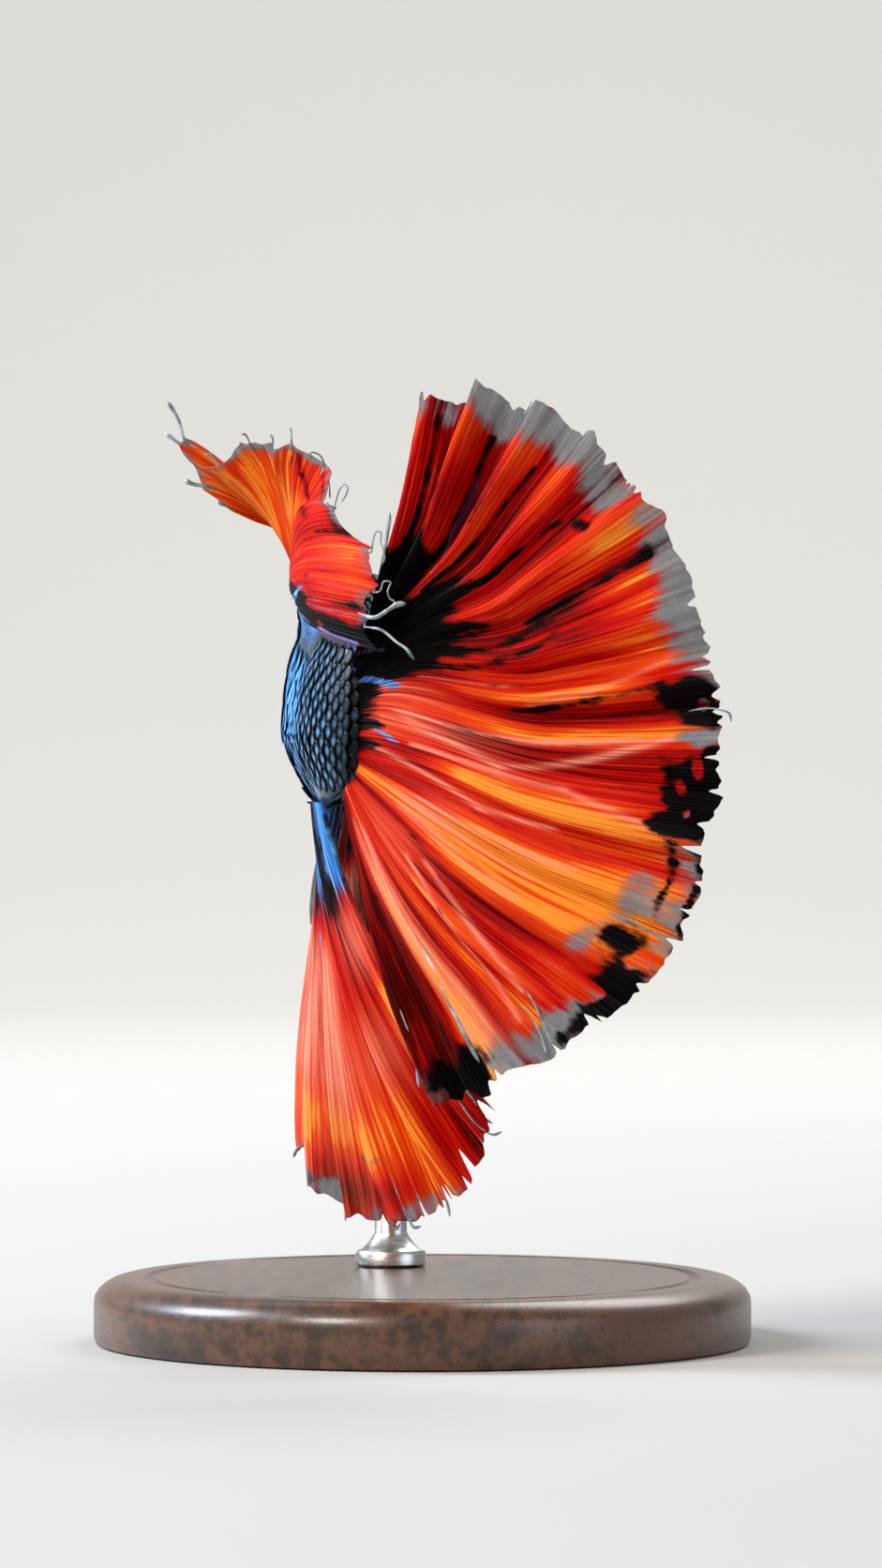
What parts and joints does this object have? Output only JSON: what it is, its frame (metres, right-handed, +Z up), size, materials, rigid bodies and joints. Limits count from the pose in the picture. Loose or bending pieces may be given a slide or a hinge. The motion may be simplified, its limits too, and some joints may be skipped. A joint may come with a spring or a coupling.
{
  "type": "betta fish model on a display stand",
  "caption": "Life-size still model of a halfmoon betta fish in a turn, with its back, tail and vent fins spread, held by a rod on a flat oval base.",
  "frame": {"origin": "centre of the underside of the stand's base, which lies at z = 0", "axes": "+Z up; +Y from the tail towards the head; +X towards the fish's right side"},
  "size_m": [0.04, 0.0593, 0.0571],
  "materials": {
    "skin": "satin, steel-blue scales with dark edges",
    "eye": "gloss, dark",
    "fin": "satin, red to orange with pale, partly clear rims",
    "pale_fin": "satin, thin and pale",
    "base": "satin lacquer over dark stain",
    "rod": "brushed"
  },
  "bodies": {
    "root": {"head": "skin", "lower_jaw": "skin", "gill_cover_left": "skin", "gill_cover_right": "skin", "trunk": "skin", "tail_stem": "skin", "eye_left": "eye", "eye_right": "eye", "tail_fin": "fin", "back_fin": "fin", "vent_fin": "fin", "pectoral_fin_left": "pale_fin", "pectoral_fin_right": "pale_fin", "pelvic_fin_left": "pale_fin", "pelvic_fin_right": "pale_fin", "stand_base": "base", "stand_rod": "rod"}
  },
  "joints": []
}
